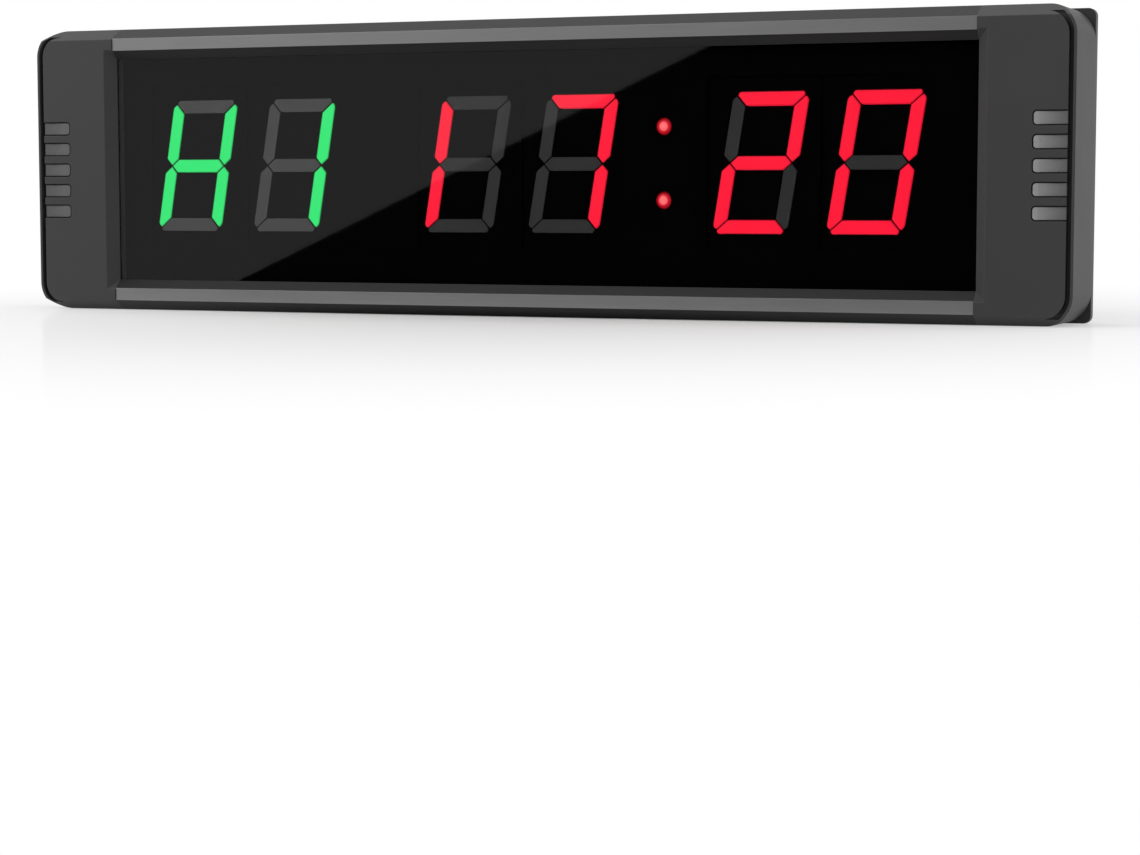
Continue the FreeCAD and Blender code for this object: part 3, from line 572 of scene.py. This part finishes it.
lens_data = bpy.data.cameras.new("camera")
lens_data.lens = FOCAL_LENGTH
lens_data.sensor_width = SENSOR_WIDTH
lens_data.clip_start = 0.01
lens_data.clip_end = 50
camera = bpy.data.objects.new("camera", lens_data)
bpy.context.scene.collection.objects.link(camera)
camera.location = CAMERA_PLACE
camera.rotation_euler = (math.radians(90 + CAMERA_TILT), 0, math.radians(CAMERA_TURN))
bpy.context.scene.camera = camera
print("camera", [round(v, 3) for v in camera.location], "m")

# %% [markdown]
# ## Studio
#
# The floor is white and a little glossy, so the case stands on a soft reflection. Further out it
# turns into plain white light, which hides the line where a floor ends. Two cards stand behind the
# camera, where only gloss sees them: a black one that keeps the lens dark, and a grey one whose
# edge makes the slanting reflection across the lens. The floor in front would show white in the
# lower part of the lens, so gloss sees it as a black and a grey cloth that carry on the cards.
#
# A mirror shows what a camera behind it would see. So the slanting edge lies in one flat plane
# through the lens's two edge points and the camera's mirror image, and that plane gives the place
# of the edge on the cards and on the floor alike.


# %% Where the slanting edge lies
lens_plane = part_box("front_lens")[0].y
mirrored_camera = Vector((CAMERA_PLACE.x, 2 * lens_plane - CAMERA_PLACE.y, CAMERA_PLACE.z))


def reflected(x, z, distance):
    """What the camera sees mirrored at x, z on the lens, at that distance in front of it."""
    spot = Vector((x, lens_plane, z))
    ray = spot - mirrored_camera
    return spot + ray * (distance / -ray.y)


CARD_DISTANCE = 0.85      # from the lens to the grey card, past the camera
GREY_CARD = 0.42
EDGE_LOW = Vector((-90.3, 8.6)) * MM     # x and z on the lens of the slanting edge's two ends
EDGE_HIGH = Vector((56.3, 74.2)) * MM
edge_plane = (reflected(*EDGE_LOW, CARD_DISTANCE) - mirrored_camera).cross(
    reflected(*EDGE_HIGH, CARD_DISTANCE) - mirrored_camera)
if edge_plane.x > 0:
    edge_plane.negate()   # so that it points to the left, the grey side
print("edge plane", [round(v, 4) for v in edge_plane.normalized()])


# %% Floor
def card(name, corners, material):
    """A flat sheet through the given corners, which isn't part of the object."""
    mesh = bpy.data.meshes.new(name)
    mesh.from_pydata([tuple(corner) for corner in corners], [], [tuple(range(len(corners)))])
    sheet = bpy.data.objects.new(name, mesh)
    sheet.data.materials.append(material)
    bpy.context.scene.collection.objects.link(sheet)
    return sheet


def emission(tree, level):
    return node(tree, "ShaderNodeEmission", inputs={"Color": grey(1.0), "Strength": level})


def seen_straight(tree):
    """1 for rays from the camera and in mirrors or glass, 0 for the rays that light things."""
    rays = [node(tree, "ShaderNodeLightPath", output=kind)
            for kind in ("Is Camera Ray", "Is Glossy Ray", "Is Transmission Ray")]
    return (rays[0] + rays[1] + rays[2]) > 0.5


FLOOR_GLOSS = 0.14        # the floor's share of gloss
FADE_FROM = 0.02          # metres from the case's middle, where the white light begins
FADE_TO = 0.36            # and where it has taken over
FADE_SQUEEZE = 1.15       # along X, which makes the fade narrower
CLOTH_FROM = 0.03         # metres in front of the middle, where the two cloths begin


def floor_finish():
    material, tree, shader = start("floor", Roughness=0.5, Specular_IOR_Level=0.0,
                                   Base_Color=(0.92, 0.92, 0.92, 1))
    gloss = node(tree, "ShaderNodeBsdfGlossy", inputs={"Color": grey(1.0), "Roughness": 0.12})
    matt = Value(tree, shader.outputs[0])
    floor_top = mix_shaders(tree, FLOOR_GLOSS, matt, gloss)
    far = vector(tree, "LENGTH", place(tree, (FADE_SQUEEZE, 1, 1)))
    fade = node(tree, "ShaderNodeMapRange", {"interpolation_type": "SMOOTHSTEP"},
                {"Value": far, "From Min": FADE_FROM, "From Max": FADE_TO})
    lit_floor = mix_shaders(tree, fade * seen_straight(tree), floor_top, emission(tree, 1.0))
    on_grey_side = vector(tree, "DOT_PRODUCT", place(tree), tuple(edge_plane)) > edge_plane.dot(
        mirrored_camera)
    cloth = mix_shaders(tree, on_grey_side, emission(tree, 0.0), emission(tree, GREY_CARD))
    in_front = vector(tree, "DOT_PRODUCT", place(tree), (0, -1, 0)) > CLOTH_FROM
    in_gloss = node(tree, "ShaderNodeLightPath", output="Is Glossy Ray")
    surface(tree, mix_shaders(tree, in_front * in_gloss, lit_floor, cloth))
    return material


REACH = 12.0              # metres from the middle to each side of the floor
card("floor", [(-REACH, -REACH, 0), (REACH, -REACH, 0), (REACH, REACH, 0),
               (-REACH, REACH, 0)], floor_finish())


# %% Cards that only gloss sees
def glow(name, level):
    material, tree = bare(name)
    surface(tree, emission(tree, level))
    return material


def gloss_only(sheet):
    sheet.visible_camera = False
    sheet.visible_diffuse = False
    sheet.visible_transmission = False
    sheet.visible_shadow = False


along = EDGE_HIGH - EDGE_LOW
high_end = EDGE_HIGH + along * 3
low_end = EDGE_LOW - along * 2
FAR_LEFT = -1.6           # x on the lens's plane, well past the case
grey_card = card("grey_card", [
    reflected(low_end.x, low_end.y, CARD_DISTANCE),
    reflected(high_end.x, high_end.y, CARD_DISTANCE),
    reflected(FAR_LEFT, high_end.y, CARD_DISTANCE),
    reflected(FAR_LEFT, low_end.y, CARD_DISTANCE)], glow("grey_card", GREY_CARD))
BLACK_DISTANCE = CARD_DISTANCE * 1.02    # just behind the grey one
BLACK_SIDE = 0.5
BLACK_TOP = 0.3
black_card = card("black_card", [
    reflected(x, z, BLACK_DISTANCE)
    for x, z in ((-BLACK_SIDE, 0), (BLACK_SIDE, 0), (BLACK_SIDE, BLACK_TOP),
                 (-BLACK_SIDE, BLACK_TOP))], glow("black_card", 0.0))
gloss_only(grey_card)
gloss_only(black_card)


# %% Lamps and world
def area(name, location, target, size, power):
    """A rectangular lamp, sized in metres and powered in watts, that points at target."""
    data = bpy.data.lights.new(name, "AREA")
    data.shape = "RECTANGLE"
    data.size, data.size_y = size
    data.energy = power
    lamp = bpy.data.objects.new(name, data)
    bpy.context.scene.collection.objects.link(lamp)
    lamp.location = location
    lamp.rotation_mode = "QUATERNION"
    lamp.rotation_quaternion = (Vector(target) - Vector(location)).to_track_quat("-Z", "Y")


area("key", (-1.0, -1.05, 0.9), (-0.05, 0, 0.04), (0.9, 0.9), 12)
area("fill", (1.5, -0.6, 0.9), (0, 0, 0.04), (0.9, 1.2), 2.0)
area("top", (0, 0.2, 1.8), (0, 0, 0.04), (2.0, 1.0), 8)

world = bpy.data.worlds.new("studio")
bpy.context.scene.world = world
world.use_nodes = True
air = world.node_tree
AMBIENT = 0.5             # what the white surroundings give as light
strength = AMBIENT + seen_straight(air) * (1.0 - AMBIENT)
background = air.nodes["Background"]
background.inputs["Color"].default_value = (1, 1, 1, 1)
air.links.new(strength.socket, background.inputs["Strength"])

bpy.context.scene.view_settings.view_transform = "Standard"
